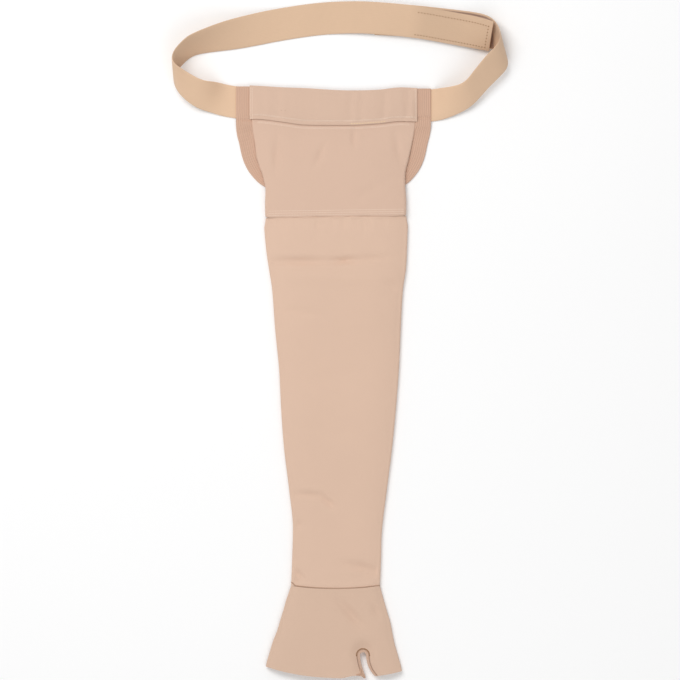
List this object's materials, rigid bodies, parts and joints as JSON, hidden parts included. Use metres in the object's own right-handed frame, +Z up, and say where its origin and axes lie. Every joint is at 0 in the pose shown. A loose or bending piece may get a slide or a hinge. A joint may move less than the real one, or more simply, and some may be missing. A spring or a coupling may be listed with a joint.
{
  "type": "arm compression sleeve",
  "caption": "Tapered knit sleeve for a whole arm, lying flat, with a flared hand piece and thumb opening, a shoulder cap and an elastic chest strap closed with hook and pile tape",
  "frame": {"origin": "On the surface it lies on, under the middle of the whole object's box", "axes": "+Y runs from the hand to the shoulder and strap, +X across the arm towards the thumb side, +Z up off the surface"},
  "size_m": [0.3858, 0.782, 0.0369],
  "materials": {
    "sleeve_knit": "matt fine knit",
    "hand_knit": "matt fine knit",
    "slot_binding": "matt edge binding",
    "cap_knit": "matt fine knit",
    "hem_knit": "matt double knit",
    "rib_binding": "ribbed knit",
    "strap_elastic": "woven elastic",
    "hook_tape": "hook tape",
    "pile_tape": "soft loop pile"
  },
  "bodies": {
    "root": {"arm_sleeve": "sleeve_knit", "hand_piece": "hand_knit", "thumb_slot_binding": "slot_binding", "shoulder_cap": "cap_knit", "top_hem_band": "hem_knit", "armhole_binding": "rib_binding", "strap_long": "strap_elastic", "strap_short": "strap_elastic", "hook_pad": "hook_tape", "loop_pad": "pile_tape"}
  },
  "joints": []
}
